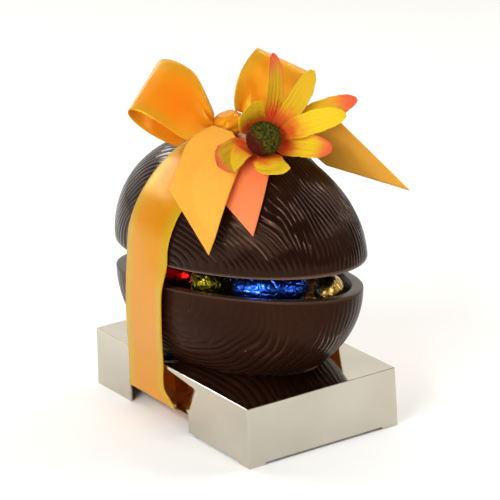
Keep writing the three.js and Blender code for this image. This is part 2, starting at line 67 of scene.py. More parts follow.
class Wire:
    """An output socket of a material's node that is added, subtracted and multiplied like a number."""

    def __init__(self, finish, socket):
        self.finish = finish
        self.socket = socket

    def _sum(self, operation, first, second):
        return self.finish.node("ShaderNodeMath", {"operation": operation}, {0: first, 1: second})

    def __add__(self, other):
        return self._sum("ADD", self, other)

    def __radd__(self, other):
        return self._sum("ADD", other, self)

    def __sub__(self, other):
        return self._sum("SUBTRACT", self, other)

    def __rsub__(self, other):
        return self._sum("SUBTRACT", other, self)

    def __mul__(self, other):
        return self._sum("MULTIPLY", self, other)

    def __rmul__(self, other):
        return self._sum("MULTIPLY", other, self)

    def sine(self):
        return self.finish.node("ShaderNodeMath", {"operation": "SINE"}, {0: self})


class Finish:
    """A material, or a room's light, built from nodes."""

    def __init__(self, name, owner=None):
        self.material = owner or bpy.data.materials.new(name)
        self.material.use_nodes = True
        self.tree = self.material.node_tree
        self.tree.nodes.clear()

    def node(self, kind, settings=None, sockets=None, out=0):
        made = self.tree.nodes.new(kind)
        for name, value in (settings or {}).items():
            if name == "stops":
                self._set_stops(made.color_ramp, value)
            else:
                setattr(made, name, value)
        for key, value in (sockets or {}).items():
            if isinstance(value, Wire):
                self.tree.links.new(value.socket, made.inputs[key])
            else:
                made.inputs[key].default_value = value
        return Wire(self, made.outputs[out])

    def _set_stops(self, ramp, stops):
        while len(ramp.elements) < len(stops):
            ramp.elements.new(0.5)
        for element, (place, color) in zip(ramp.elements, stops):
            element.position = place
            element.color = color

    def place(self):
        return self.node("ShaderNodeTexCoord", out="Object")

    def painted(self, name):
        """A share that the mesh holds at each of its points under a name."""
        return self.node("ShaderNodeAttribute", {"attribute_name": name}, out="Fac")

    def unrolled(self):
        """The place on a strip of cloth as it was before it was bent, from 0 to 1 each way."""
        return self.node("ShaderNodeTexCoord", out="UV")

    def across_and_along(self):
        split = self.node("ShaderNodeSeparateXYZ", None, {0: self.unrolled()})
        return split, Wire(self, split.socket.node.outputs["Y"])

    def stretched(self, vector, scale):
        return self.node("ShaderNodeVectorMath", {"operation": "MULTIPLY"}, {0: vector, 1: scale})

    def cloud(self, vector, scale, detail=2.0, roughness=0.5):
        sockets = {"Vector": vector, "Scale": scale, "Detail": detail, "Roughness": roughness}
        return self.node("ShaderNodeTexNoise", None, sockets)

    def step(self, value, low, high):
        sockets = {"Value": value, "From Min": low, "From Max": high}
        return self.node("ShaderNodeMapRange", {"interpolation_type": "SMOOTHSTEP"}, sockets)

    def tint(self, share, first, second):
        return self.node("ShaderNodeMix", {"data_type": "RGBA"}, {0: share, 6: first, 7: second}, out=2)

    def bump(self, height, distance, strength=1.0, below=None):
        sockets = {"Height": height, "Distance": distance, "Strength": strength}
        if below:
            sockets["Normal"] = below
        return self.node("ShaderNodeBump", None, sockets)

    def skin(self, **sockets):
        named = {name.replace("_", " "): value for name, value in sockets.items()}
        self.end(self.node("ShaderNodeBsdfPrincipled", None, named), "ShaderNodeOutputMaterial")
        return self.material

    def end(self, surface, kind):
        ending = self.tree.nodes.new(kind)
        self.tree.links.new(surface.socket, ending.inputs["Surface"])


def screen(red, green, blue):
    """A colour as a screen shows it, from 0 to 255, as light."""

    def light(part):
        share = part / 255
        return share / 12.92 if share <= 0.04045 else ((share + 0.055) / 1.055) ** 2.4

    return (light(red), light(green), light(blue), 1.0)


print("a mid brown is", [round(part, 3) for part in screen(62, 38, 30)])

# %% [markdown]
# A mesh is finished in one place: its edit mesh is moved into the model's frame, faces are smoothed, and
# the object gets its material and rides on the one body that the whole part is.

# %% Finishing a mesh


def finished(name, mesh_in_edit, material, node, smooth=True, place=Matrix()):
    bmesh.ops.transform(mesh_in_edit, matrix=TO_FRAME @ place, verts=mesh_in_edit.verts)
    for face in mesh_in_edit.faces:
        face.smooth = smooth
    mesh = bpy.data.meshes.new(name)
    mesh_in_edit.to_mesh(mesh)
    mesh_in_edit.free()
    piece = bpy.data.objects.new(name, mesh)
    bpy.context.scene.collection.objects.link(piece)
    mesh.materials.append(material)
    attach(piece, "root")
    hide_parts(node)
    print(f"{name}: {len(mesh.polygons)} faces")
    return piece


def merge(made, within):
    bmesh.ops.remove_doubles(made, verts=made.verts, dist=within)


def face_outwards(made):
    bmesh.ops.recalc_face_normals(made, faces=made.faces)


def turned_by(degrees, axis):
    return Matrix.Rotation(radians(degrees), 4, axis)


def grid(columns, rows):
    """A flat grid whose corners have u and v from 0 to 1 in its UV map."""
    made = bmesh.new()
    bmesh.ops.create_grid(made, x_segments=columns, y_segments=rows, size=0.5)
    bmesh.ops.translate(made, vec=(0.5, 0.5, 0), verts=made.verts)
    layer = made.loops.layers.uv.new("UVMap")
    for face in made.faces:
        for loop in face.loops:
            loop[layer].uv = loop.vert.co.xy
    return made


def mixed(first, second, share):
    return first + (second - first) * share


def spread(count, first, last):
    return [mixed(first, last, step / (count - 1)) for step in range(count)]


# %% [markdown]
# The camera stands where the egg is seen from above its front right corner, with a long lens, as a
# product is usually shot. Its three axes are built from the two angles and a slight roll.

# %% Camera
VIEW = {"azimuth": 57.606, "elevation": 19.313, "roll": -2.478, "distance": 1563.0, "aim_height": 90.0}
IMAGE_SIZE = 500
PIXELS_PER_MM_AT_AIM = 1.7809
AIM_PIXEL = (237.97, 254.88)


def view_axes(azimuth, elevation, roll):
    a, e, r = (radians(angle) for angle in (azimuth, elevation, roll))
    back = Vector((sin(a) * cos(e), -cos(a) * cos(e), sin(e)))
    level = Vector((cos(a), sin(a), 0))
    up = back.cross(level)
    return level * cos(r) + up * sin(r), up * cos(r) - level * sin(r), back


right, up, back = view_axes(VIEW["azimuth"], VIEW["elevation"], VIEW["roll"])
lens = bpy.data.cameras.new("camera")
lens.sensor_width = 36
lens.lens = PIXELS_PER_MM_AT_AIM * VIEW["distance"] * lens.sensor_width / IMAGE_SIZE
lens.shift_x = (IMAGE_SIZE / 2 - AIM_PIXEL[0]) / IMAGE_SIZE
lens.shift_y = (AIM_PIXEL[1] - IMAGE_SIZE / 2) / IMAGE_SIZE
camera = bpy.data.objects.new("camera", lens)
aim = Vector((0, 0, VIEW["aim_height"]))
turned = Matrix((right, up, back)).transposed().to_4x4()
camera.matrix_world = Matrix.Translation(TO_FRAME @ (aim + back * VIEW["distance"])) @ turned
bpy.context.scene.collection.objects.link(camera)
bpy.context.scene.camera = camera
print("camera at", camera.matrix_world.translation, "lens", round(lens.lens, 1))

# %% [markdown]
# Dark glossy chocolate shows its form by what it mirrors. So the room is dim on the side of the camera,
# and its far side is a pale backdrop, which the mirror card picks up. Wide panels would spread grey
# patches over the gloss. Narrow strips lie along the run of the ridges instead, so that each ridge draws
# thin bright lines. A wider one lights the left side, and a weak panel overhead fills the ribbons. What
# repeats, here the panels, is kept in a table that names its columns once.

# %% Light and floor
bpy.context.scene.view_settings.view_transform = "Standard"

FAR_SIDE = (-back.x, -back.y, 0.25)
DIM_WALL = screen(104, 99, 93)
BACKDROP = {"color": screen(250, 247, 240), "starts": 0.1, "full": 0.85}
ROOM_STRENGTH = 1.15

room = Finish("room", bpy.data.worlds.new("room"))
room_direction = room.node("ShaderNodeTexCoord", out="Generated")
towards_backdrop = room.node(
    "ShaderNodeVectorMath", {"operation": "DOT_PRODUCT"}, {0: room_direction, 1: FAR_SIDE}, out="Value",
)
in_backdrop = room.step(towards_backdrop, BACKDROP["starts"], BACKDROP["full"])
room_color = room.tint(in_backdrop, DIM_WALL, BACKDROP["color"])
room_light = room.node("ShaderNodeBackground", None, {"Color": room_color, "Strength": ROOM_STRENGTH})
room.end(room_light, "ShaderNodeOutputWorld")
bpy.context.scene.world = room.material


def table(columns, rows):
    """Named rows of values, as one dictionary a row, under the columns that are named once."""
    return {name: dict(zip(columns.split(), values)) for name, values in rows.items()}


PANELS = table("direction along distance size power", {
    "front_strip": ((0.35, -0.76, 0.54), (-0.69, 0.03, 0.49), 1.5, (0.03, 1.4), 16),
    "back_strip": ((0.19, 0.71, 0.68), (-0.86, -0.17, 0.42), 1.5, (0.03, 1.2), 9),
    "low_strip": ((0.12, -0.98, 0.16), (-0.69, 0.03, 0.49), 1.5, (0.05, 0.4), 2.5),
    "right_strip": ((0.87, 0.2, 0.4), (0, 0, 1), 1.6, (0.03, 0.9), 4),
    "overhead": ((-0.45, 0.2, 0.9), (0, 0, 1), 1.6, (0.9, 0.7), 2),
    "left_strip": ((-0.83, -0.33, 0.4), (0.3, -0.92, -0.28), 1.6, (0.16, 0.9), 8),
})
PANEL_AIM = TO_FRAME @ Vector((0, 0, 80))


def soft_panel(name, direction, along, distance, size, power):
    """A panel that faces the egg, with its longer side along a given direction."""
    light = bpy.data.lights.new(name, "AREA")
    light.shape = "RECTANGLE"
    light.size, light.size_y = size
    light.energy = power
    panel = bpy.data.objects.new(name, light)
    away = Vector(direction).normalized()
    long_side = (Vector(along) - away * away.dot(Vector(along))).normalized()
    turned = Matrix((long_side.cross(away), long_side, away)).transposed().to_4x4()
    panel.matrix_world = Matrix.Translation(PANEL_AIM + away * distance) @ turned
    bpy.context.scene.collection.objects.link(panel)


for name, panel in PANELS.items():
    soft_panel(name, **panel)
print("panels", list(PANELS))

FLOOR_HALF_SIZE = 6
floor_edit = bmesh.new()
bmesh.ops.create_grid(floor_edit, x_segments=1, y_segments=1, size=FLOOR_HALF_SIZE)
floor_mesh = bpy.data.meshes.new("floor")
floor_edit.to_mesh(floor_mesh)
floor_edit.free()
floor = bpy.data.objects.new("floor", floor_mesh)
bpy.context.scene.collection.objects.link(floor)
paper = Finish("pale_floor")
floor_mesh.materials.append(paper.skin(Base_Color=screen(250, 250, 249), Roughness=0.9))

# %% [markdown]
# Dark chocolate is a very dark brown under a thin gloss. Cocoa butter sets a little unevenly, so its
# gloss changes in soft clouds, and the mould leaves a fine tooth. The rim is painted paler, a painted
# highlight where its edge and its top face catch the light, and a few specks of cocoa lie on the skin.
# The lower shell is duller than the upper one, which has been handled less.

# %% Chocolate
COCOA_DUST = screen(150, 120, 100)


def dimmed(color, share):
    return tuple(part * share for part in color[:3]) + (1.0,)


def chocolate(name, gloss, shine, color, rim_highlight_color):
    finish = Finish(name)
    place = finish.place()
    clouds = finish.cloud(place, 60, 4)
    shade = finish.step(finish.cloud(place, 25, 3), 0.35, 0.7)
    # Where the mesh marks the rim, the colour turns paler: a painted highlight along the rim's edge and top
    # face.
    body = finish.tint(finish.painted("rim_edge"), finish.tint(shade, dimmed(color, 0.75), color), rim_highlight_color)
    dust = finish.step(finish.cloud(place, 420, 1), 0.80, 0.83)
    tooth = finish.bump(finish.cloud(place, 700, 2), 0.00004, 0.08)
    fingers = finish.bump(finish.cloud(place, 150, 2), 0.0002, 0.06, tooth)
    return finish.skin(
        Base_Color=finish.tint(dust, body, COCOA_DUST),
        Roughness=clouds * 0.08 + gloss,
        Normal=fingers,
        IOR=1.3,
        Specular_IOR_Level=shine,
        Specular_Tint=screen(255, 202, 168),
    )


glossy_chocolate = chocolate("glossy_dark_chocolate", 0.05, 0.4, screen(34, 17, 12), screen(110, 86, 74))
dull_chocolate = chocolate("dull_dark_chocolate", 0.22, 0.22, screen(45, 23, 15), screen(76, 58, 48))

# %% [markdown]
# Each shell is half an egg with ridges like bark. They are the rings of equal angle round a pole in the
# middle of the egg's long side, as if the egg had been cut from a log. A wave carries the rings to and
# fro, and here and there a ring splits in two. A grid is bent so that its columns cross the ridges, which
# takes the fewest faces, and its two ends close on the poles. The rim is then extruded inwards and down.

# %% The shells' form
EGG = {"half_length": 85.5, "half_width": 52.5, "depth": 62.3, "fullness": -0.054}
# How thick the wall is at the ends, at the sides and at the crown.
WALL = Vector((7.5, 6.5, 5.5))
LOWER = {"middle": (-2.6, 1.9, 78.1), "tilt_x": -4.7, "tilt_y": -4.6, "yaw": 9.7}
UPPER = {"middle": (1.3, 1.1, 97.8), "tilt_x": 1.0, "tilt_y": -1.4, "yaw": 11.6}
RIDGES = table("count height forks seed calm rows columns", {
    "upper_shell": (56, 0.55, 36, 3, 0.06, 900, 84),
    "lower_shell": (42, 0.65, 28, 11, 0.5, 800, 90),
})
RIDGE = {"sway": 1.9, "wobble": 0.6, "arch": 2.2, "strength": 0.75, "varies": 0.5, "at_rim": 0.25}
MERGE_WITHIN = 0.02


def placed(half):
    yaw = turned_by(half["yaw"], "Z")
    tilt_x = turned_by(half["tilt_x"], "X")
    tilt_y = turned_by(half["tilt_y"], "Y")
    return Matrix.Translation(half["middle"]) @ tilt_y @ tilt_x @ yaw


LOWER_PLACE = placed(LOWER)
UPPER_PLACE = placed(UPPER)


def egg_point(ball, grow=Vector()):
    """A point of a unit ball as a point of the egg, whose three half sizes may each be grown."""
    full = 1 + EGG["fullness"] * ball.x
    return Vector((
        (EGG["half_length"] + grow.x) * ball.x,
        (EGG["half_width"] + grow.y) * full * ball.y,
        (EGG["depth"] + grow.z) * full * ball.z,
    ))


def make_forks(ridges):
    """Places where one ridge becomes two, in turn one way and the other so that their number stays."""
    draw = random.Random(ridges["seed"])
    forks = []
    for number in range(ridges["forks"]):
        forks.append((draw.uniform(0.35, 2.8), draw.uniform(0.15, 3.0), 1 if number % 2 else -1))
    return forks


def ridge_height(ridges, forks, ring, around, ball):
    """How far the skin stands in from the egg: low arched ridges with sharp grooves between them."""
    shifted = ball + Vector((ridges["seed"], 0, 0))
    turns = ridges["count"] * ring / pi
    turns += RIDGE["sway"] * noise.noise(shifted * 1.9) + RIDGE["wobble"] * noise.noise(shifted * 4.5)
    for fork_ring, fork_around, way in forks:
        turns += way * atan2((around - fork_around) * sin(ring), ring - fork_ring) / (2 * pi)
    share = turns % 1
    profile = 1 - abs(2 * share - 1) ** RIDGE["arch"]
    strength = RIDGE["strength"] + RIDGE["varies"] * noise.noise(shifted * 3.1 + Vector((0, 0, 7)))
    above_rim = sin(ring) * sin(around)
    full = RIDGE["at_rim"] + (1 - RIDGE["at_rim"]) * min(1, above_rim / ridges["calm"])
    return ridges["height"] * strength * (profile - 1) * full


# Across the rim from its outer edge to its inner one: share of the wall, and rise of the rim.
RIM_STEPS = [(0.06, 0.14), (0.16, 0.24), (0.5, 0.3), (0.84, 0.24), (0.94, 0.14), (1.0, 0.0)]
# Angles from the rim down to the bottom of the hollow.
HOLLOW_STEPS = [0.1, 0.25, 0.45, 0.7, 1.0, 1.25, 1.45]


def angle_on_rim(point, inward):
    x = point.x / (EGG["half_length"] - inward.x)
    y = point.y / ((EGG["half_width"] - inward.y) * (1 + EGG["fullness"] * x))
    return atan2(y, x)


def ridged_half(name, side, material, place, node):
    ridges = RIDGES[name]
    made = bmesh.new()
    bmesh.ops.create_grid(made, x_segments=ridges["rows"], y_segments=ridges["columns"], size=0.5)
    forks = make_forks(ridges)
    rim_highlight_layer = made.verts.layers.float.new("rim_edge")
    for v in made.verts:
        ring = (v.co.x + 0.5) * pi
        around = (v.co.y + 0.5) * pi
        ball = Vector((
            sin(ring) * cos(around),
            -cos(ring),
            sin(ring) * sin(around),
        ))
        height = ridge_height(ridges, forks, ring, around, ball)
        # A thin painted highlight along the outer edge of the rim, where it catches the light.
        v[rim_highlight_layer] = exp(-((ball.z / 0.012) ** 2))
        v.co = egg_point(ball, Vector((height, height, height)))
    merge(made, MERGE_WITHIN)

    rim = [edge for edge in made.edges if edge.is_boundary]
    steps = [(WALL * share, 0, rise) for share, rise in RIM_STEPS]
    steps += [(WALL, depth, 0) for depth in HOLLOW_STEPS]
    before = Vector()
    for inward, depth, rise in steps:
        grown = bmesh.ops.extrude_edge_only(made, edges=rim)["geom"]
        rim = [part for part in grown if isinstance(part, bmesh.types.BMEdge)]
        for v in {v for edge in rim for v in edge.verts}:
            angle = angle_on_rim(v.co, before)
            level = cos(depth)
            ball = Vector((cos(angle) * level, sin(angle) * level, sin(depth)))
            # The rim's top face gets half of the painted highlight, as it faces up to the light.
            v[rim_highlight_layer] = 0.5 if rise else 0.0
            v.co = egg_point(ball, -inward) - Vector((0, 0, rise))
        before = inward
    bmesh.ops.pointmerge(made, verts=list({v for edge in rim for v in edge.verts}),
                         merge_co=egg_point(Vector((0, 0, 1)), -WALL))
    bmesh.ops.scale(made, vec=(1, 1, side), verts=made.verts)
    face_outwards(made)
    finished(name, made, material, node, place=place)


ridged_half("upper_shell", 1, glossy_chocolate, UPPER_PLACE, "shell_upper")
ridged_half("lower_shell", -1, dull_chocolate, LOWER_PLACE, "shell_lower")

# %% [markdown]
# The little eggs are wrapped in thin coloured foil. It is pressed round them by hand, so it has many
# small flat facets with sharp creases, which break up what it mirrors. The larger creases are in the
# mesh, and the finest ones are left to the material.

# %% Foil
FOIL_COLORS = {
    "red": screen(190, 18, 12),
    "green": screen(140, 128, 30),
    "blue": screen(52, 108, 245),
    "gold": screen(196, 160, 84),
    "orange": screen(225, 104, 24),
}


def foil(color_name):
    finish = Finish(f"{color_name}_foil")
    place = finish.place()
    warped = finish.node(
        "ShaderNodeVectorMath",
        {"operation": "MULTIPLY_ADD"},
        {0: finish.node("ShaderNodeTexNoise", None, {"Vector": place, "Scale": 120.0}, out="Color"),
         1: (0.004, 0.004, 0.004), 2: place},
    )
    facets = finish.node(
        "ShaderNodeTexVoronoi", {"feature": "DISTANCE_TO_EDGE"}, {"Vector": warped, "Scale": 170.0},
    )
    creases = finish.bump(finish.step(facets, 0, 0.2), 0.0004, 0.6)
    dents = finish.bump(finish.cloud(place, 130, 3), 0.001, 0.6, creases)
    return finish.skin(
        Base_Color=FOIL_COLORS[color_name],
        Metallic=1.0,
        Roughness=finish.cloud(place, 150, 2) * 0.2 + 0.16,
        Normal=dents,
    )


foils = {name: foil(name) for name in FOIL_COLORS}

FOIL_EGGS = table("foil place heading pitch size", {
    "red_front": ("red", (-11, -32, 84), 8, 0, (30, 22)),
    "green_front": ("green", (17, -28.5, 83.6), 62, -40, (26, 20)),
    "blue_front": ("blue", (44, -8, 84.5), 52, 0, (43, 23)),
    "gold_end": ("gold", (62, 18, 82.5), -42, 0, (22, 17)),
    "blue_back": ("blue", (31, 33, 87), 4, 0, (34, 21)),
    "orange_back": ("orange", (-8, 31, 85), 8, 0, (34, 22)),
    "gold_back": ("gold", (-45, 18, 84), 32, 0, (32, 21)),
    "red_left": ("red", (-62, -7, 83), 100, 0, (28, 20)),
    "green_left": ("green", (-41, -27, 84.2), -18, 0, (28, 21)),
})


CRUMPLE = {"facet": 0.9, "pleat": 0.35, "dent": 0.25, "end_pleats": 9, "end_at": 14}


def crumpled(point, seed):
    """How far hand-pressed foil stands in from a smooth egg at a point, in millimetres."""
    spot = point * 0.16 + Vector((seed * 3.7, 0, 0))
    near, _ = noise.voronoi(spot)
    pleat = abs(sin(CRUMPLE["end_pleats"] * atan2(point.z, point.y) + 2 * noise.noise(spot)))
    towards_end = min(1, abs(point.x) / CRUMPLE["end_at"]) ** 3
    depth = CRUMPLE["pleat"] * (1 - pleat) * towards_end - CRUMPLE["facet"] * (near[1] - near[0])
    return depth + CRUMPLE["dent"] * noise.noise(spot * 3)


def foil_egg(name, treat, node, seed, around, along):
    """Make one wrapped egg from a ball that is laid down, pressed, turned and put in its place."""
    made = bmesh.new()
    length, width = treat["size"]
    bmesh.ops.create_uvsphere(made, u_segments=around, v_segments=along, radius=1)
    bmesh.ops.rotate(made, cent=(0, 0, 0), matrix=Matrix.Rotation(pi / 2, 3, "Y"), verts=made.verts)
    for v in made.verts:
        round_by = width / 2 * (1 - 0.12 * v.co.x)
        smooth = Vector((v.co.x * length / 2, v.co.y * round_by, v.co.z * round_by))
        inward = crumpled(smooth, seed)
        v.co = smooth * (1 - 0.5 * (inward + 0.5) / (width / 2))
    pitch = turned_by(-treat["pitch"], "Y")
    turn = turned_by(treat["heading"], "Z") @ pitch
    bmesh.ops.transform(made, matrix=Matrix.Translation(treat["place"]) @ turn, verts=made.verts)
    finished(name, made, foils[treat["foil"]], node)


for number, (name, treat) in enumerate(FOIL_EGGS.items()):
    foil_egg(f"{name}_foil_egg", treat, f"foil_egg_{name}", number, 96, 64)

# %% [markdown]
# Under the eggs that show, the bowl is full of more of them. The ones in the middle are modelled like the
# rest with fewer faces, and a plain core in gold foil, cut off level, stands for the ones below.

# %% The bed of eggs
BED_EGGS = table("foil place heading pitch size", {
    "bed_foil_egg_1": ("gold", (-36, -3, 76), 30, 0, (35, 23)),
    "bed_foil_egg_2": ("blue", (-8, 2, 77), -20, 0, (37, 24)),
    "bed_foil_egg_3": ("red", (18, 4, 77), 70, 0, (33, 23)),
})
CORE = {"top": 69.5, "gap": 0.6}
for number, (name, treat) in enumerate(BED_EGGS.items()):
    foil_egg(name, treat, "filling_bed", 20 + number, 64, 44)

core = bmesh.new()
bmesh.ops.create_uvsphere(core, u_segments=96, v_segments=64, radius=1)
inside = -WALL - Vector.Fill(3, CORE["gap"])
for v in core.verts:
    v.co = LOWER_PLACE @ egg_point(v.co, inside)
cut = bmesh.ops.bisect_plane(core, geom=core.verts[:] + core.edges[:] + core.faces[:], dist=0.001,
                             plane_co=(0, 0, CORE["top"]), plane_no=(0, 0, 1), clear_outer=True)
edge_loop = [part for part in cut["geom_cut"] if isinstance(part, bmesh.types.BMEdge)]
bmesh.ops.triangle_fill(core, edges=edge_loop, use_beauty=True, normal=(0, 0, 1))
face_outwards(core)
finished("filling_core", core, foils["gold"], "filling_bed")

# %% [markdown]
# The tray is folded from card with a bright mirror film. The solid has its walls, notches and the dent
# under the ribbon, so its mesh is copied and merged. The dent is pushed in further, which turns what it
# mirrors, and the outer folds are rounded a little, which draws the fine light lines along them. The
# film's slight waves are left to the material.

# %% The mirror tray


def mirror_film():
    finish = Finish("silver_mirror_card")
    place = finish.place()
    waves = finish.bump(finish.cloud(place, 14, 1), 0.0012, 0.12)
    grain = finish.bump(finish.cloud(place, 1400, 2), 0.00002, 0.3, waves)
    return finish.skin(
        Base_Color=finish.tint(finish.cloud(place, 22, 3), screen(180, 174, 160), screen(210, 204, 189)),
        Metallic=1.0,
        Roughness=finish.cloud(place, 30, 2) * 0.05 + 0.045,
        Normal=grain,
    )


TRAY = {"width": 98.0, "lean": 0.6}
DENT = {"left": -20, "right": 0, "low": 14, "high": 32.5, "behind_wall": 3.5, "deeper": 3.5}
FOLD = {"angle": radians(40), "side_area": 200, "rounding": 0.4}

card = bmesh.new()
card.from_mesh(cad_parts["tray"].data)
bmesh.ops.transform(card, matrix=TO_FRAME.inverted(), verts=card.verts)
merge(card, 0.01)
for v in card.verts:
    behind = v.co.y + TRAY["width"] / 2 > DENT["behind_wall"]
    if behind and DENT["left"] < v.co.x < DENT["right"] and DENT["low"] < v.co.z < DENT["high"]:
        v.co.y += DENT["deeper"]
bmesh.ops.dissolve_limit(card, angle_limit=radians(0.5), verts=card.verts, edges=card.edges)
folds = [
    edge for edge in card.edges
    if edge.is_convex and edge.calc_face_angle(0) > FOLD["angle"]
    and all(face.calc_area() > FOLD["side_area"] for face in edge.link_faces)
]
bmesh.ops.bevel(
    card, geom=folds, offset=FOLD["rounding"], segments=4, profile=0.5, affect="EDGES", material=-1,
)
finished("mirror_tray", card, mirror_film(), "tray", smooth=False)

# %% [markdown]
# Satin shines along its threads. The weave is too fine to model, so its shine is a stretched highlight
# and a fine bump of lengthwise threads. Towards both edges its colour is painted a little darker and
# more olive, a painted shade where the edges curve away from the light, and the band on the egg is
# painted a little darker still, also painted shade. Light also soaks through thin satin, which makes the
# folds of the bow glow, and the deeper orange in the middle of the loops is a painted glow added to it.
# Each piece of cloth is declared with the flat size that it was cut from, which is measured on the curve
# that shapes it.

# %% Satin
RIBBON = {"width": 38.0, "thickness": 0.35}


def satin(name, color, shaded_edge_color, painted_glow_color):
    """Satin with painted shade towards both edges, and a painted glow where a mesh attribute marks two
    layers.
    """
    finish = Finish(name)
    across = finish.across_and_along()[0]
    off_middle = finish.node("ShaderNodeMath", {"operation": "ABSOLUTE"}, {0: across - 0.5})
    # Painted shade: both edges turn darker and more olive, where they curve away from the light.
    shaded_side = finish.step(off_middle, 0.28, 0.4) * 0.9
    streaks = finish.cloud(finish.stretched(finish.unrolled(), (60.0, 1.2, 1.0)), 3.0, 3)
    weave = finish.bump((across * 900.0).sine(), 0.00002, 0.25)
    body = finish.bump(streaks, 0.0003, 0.15, weave)
    single_color = finish.tint(shaded_side, color, shaded_edge_color)
    return finish.skin(
        # Deeper orange where the mesh marks two layers of a loop: a painted glow of light shining through
        # both.
        Base_Color=finish.tint(finish.painted("doubled"), single_color, painted_glow_color),
        Roughness=streaks * 0.1 + 0.2,
        Normal=body,
        Anisotropic=0.6,
        Specular_IOR_Level=0.9,
        Specular_Tint=screen(255, 226, 74),
        Subsurface_Weight=0.35,
        Subsurface_Radius=(1.0, 0.6, 0.2),
        Subsurface_Scale=0.002,
    )


golden_satin = satin("golden_satin", screen(222, 144, 26), screen(196, 148, 34), screen(238, 122, 16))
# The band's own copy of the satin is painted darker, a painted shade where less light falls on it on the
# egg.
shaded_satin = satin(
    "golden_satin_in_painted_shade", screen(206, 128, 12), screen(190, 146, 26), screen(206, 128, 12),
)


def ribbon_sheet(name, mesh_in_edit, material, node, place=Matrix(), thickness=RIBBON["thickness"]):
    piece = finished(name, mesh_in_edit, material, node, place=place)
    cloth = piece.modifiers.new("cloth", "SOLIDIFY")
    cloth.thickness = thickness * MM
    cloth.offset = 0
    return piece


def declared(piece, width, length, area=None):
    """Say what a piece of ribbon or cloth was cut from, in millimetres."""
    print(piece.name, "is cut", round(width, 1), "by", round(length, 1), "mm")
    area = None if area is None else area * MM * MM
    width * MM
    length * MM


def line_length(points):
    return sum((second - first).length for first, second in zip(points, points[1:]))


# %% [markdown]
# The band lies over the upper shell, hangs straight from its rim to the tray, turns in through the notch
# under the dented wall, and comes up again behind. It is a grid with one long side round that path. Rows
# of points are known at a few stations, and a smooth curve is run through them.

# %% The ribbon round the egg
GAP = 0.3
BAND_OFF_SHELL = RIBBON["thickness"] + 1.5 * GAP + 0.3
BAND_OFF_WALL = 0.6
BAND_UNDER_NOTCH = 1.4
BAND_STEPS = 330
NOTCH_HEIGHT = 12.0
COLUMNS = [-0.5, -0.25, 0, 0.25, 0.5]


def on_shell(place, grow, start, direction):
    """Where a straight line from inside the egg leaves a shell that is grown a little."""
    inverse = place.inverted()
    near, far = 0.0, 2 * EGG["half_length"]
    while far - near > 1e-3:
        middle = (near + far) / 2
        p = inverse @ (start + direction * middle)
        x = p.x / (EGG["half_length"] + grow)
        full = 1 + EGG["fullness"] * x
        y = p.y / ((EGG["half_width"] + grow) * full)
        z = p.z / ((EGG["depth"] + grow) * full)
        if x * x + y * y + z * z < 1:
            near = middle
        else:
            far = middle
    return start + direction * near


def over_shell_rows(towards, crown_x, rim_x):
    rows = []
    for turn in spread(10, 0, pi / 2):
        middle = crown_x + (rim_x - crown_x) * sin(turn) ** 3
        direction = Vector((0, towards * sin(turn), cos(turn)))
        row = []
        for column in COLUMNS:
            start = Vector((middle + column * RIBBON["width"], UPPER["middle"][1], UPPER["middle"][2]))
            row.append(on_shell(UPPER_PLACE, BAND_OFF_SHELL, start, direction))
        rows.append(row)
    return rows


def flat_row(x, y, z, flare=0):
    """A level row. A flare carries its right edge out, where the ribbon turns off to the back notch."""
    return [Vector((x + column * RIBBON["width"] + flare * (column + 0.5) ** 2, y, z)) for column in COLUMNS]


def band_rows():
    """Stations round the egg: over the shell from back to front, down, under the tray, and up behind."""
    wall = TRAY["width"] / 2 + TRAY["lean"] / 2 + BAND_OFF_WALL
    under = NOTCH_HEIGHT - BAND_UNDER_NOTCH
    stations = [
        (-12.5, -54.8, 83),
        (-16.5, -53.8, 62),
        (-22.3, -wall - 0.6, 35),
        (-23.3, -wall - 0.1, 20),
        (-23.6, -wall - 0.1, 15.5, 6),
        (-23.9, -wall - 0.1, 12.6, 10),
        (-23.9, -wall + 0.1, 11.2, 11),
        (-23.6, -wall + 1.5, under - 0.1, 11),
        (-22, -wall + 7, under, 9),
        (-4, 20, under),
        (3.6, wall - 3, under),
        (4, wall, under + 0.2),
        (4, wall + 0.4, 14),
        (4, wall + 0.4, 35),
        (3, 56.2, 79),
    ]
    shell_rows = over_shell_rows(1, 1, 2)[::-1] + over_shell_rows(-1, 1, -10)[1:]
    return shell_rows + [flat_row(*station) for station in stations]


def curve_between(a, b, c, d, t):
    """A point of the smooth curve from b to c, at a share t from 0 to 1. Before comes a, and after d."""
    span = (c - b).length
    before = (c - b) * 0.5 + (b - a) * (0.5 * span / (b - a).length)
    after = (c - b) * 0.5 + (d - c) * (0.5 * span / (d - c).length)
    t2, t3 = t * t, t * t * t
    return (2 * t3 - 3 * t2 + 1) * b + (t3 - 2 * t2 + t) * before + (3 * t2 - 2 * t3) * c + (t3 - t2) * after


def closed_curve(points, share):
    count = len(points)
    step = share * count
    index = int(step) % count
    a, b, c, d = (points[(index + k) % count] for k in (-1, 0, 1, 2))
    return curve_between(a, b, c, d, step - int(step))


def open_curve(points, samples=40):
    """A smooth curve through a few points, as many points and their distances along it."""
    ends = [points[0] * 2 - points[1]] + points + [points[-1] * 2 - points[-2]]
    line = []
    for index in range(len(points) - 1):
        a, b, c, d = ends[index:index + 4]
        line += [curve_between(a, b, c, d, step / samples) for step in range(samples)]
    line.append(points[-1])
    lengths = [0.0]
    for first, second in zip(line, line[1:]):
        lengths.append(lengths[-1] + (second - first).length)
    return line, lengths


def at_length(curve, length):
    line, lengths = curve
    index = min(bisect.bisect_right(lengths, length), len(line) - 1)
    share = (length - lengths[index - 1]) / (lengths[index] - lengths[index - 1])
    return mixed(line[index - 1], line[index], share)


def across_row(row, share):
    """A point across a ribbon from five points of a row."""
    step = min(share * 4, 3.9999)
    index = int(step)
    return mixed(row[index], row[index + 1], step - index)


